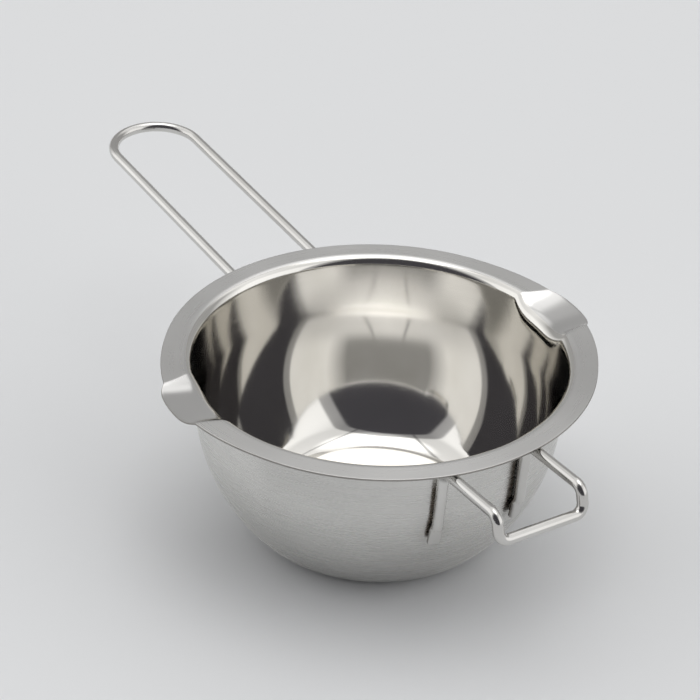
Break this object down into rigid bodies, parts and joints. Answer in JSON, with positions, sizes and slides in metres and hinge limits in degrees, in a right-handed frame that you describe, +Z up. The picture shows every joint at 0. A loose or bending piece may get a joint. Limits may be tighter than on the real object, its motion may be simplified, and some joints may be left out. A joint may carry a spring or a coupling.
{
  "type": "chocolate melting pot",
  "caption": "Small steel melting pot with a rounded drawn bowl, a wide flat rim with pressed pouring spouts, a long wire loop handle and a short wire hook that hangs over a pan's edge.",
  "frame": {"origin": "centre of the underside of the flat base", "axes": "+Z up out of the bowl's mouth, -X along the long handle, +X along the hook, spouts along -Y and +Y"},
  "size_m": [0.2669, 0.1472, 0.0677],
  "materials": {
    "bowl_steel": "stainless steel, satin outside and on the rim, mirror polished inside",
    "wire_steel": "bright drawn stainless wire, polished",
    "weld_steel": "dull fused steel"
  },
  "bodies": {
    "root": {"bowl": "bowl_steel", "long_handle": "wire_steel", "hook_handle": "wire_steel", "handle_weld_left": "weld_steel", "handle_weld_right": "weld_steel", "hook_weld_left": "weld_steel", "hook_weld_right": "weld_steel"}
  },
  "joints": []
}
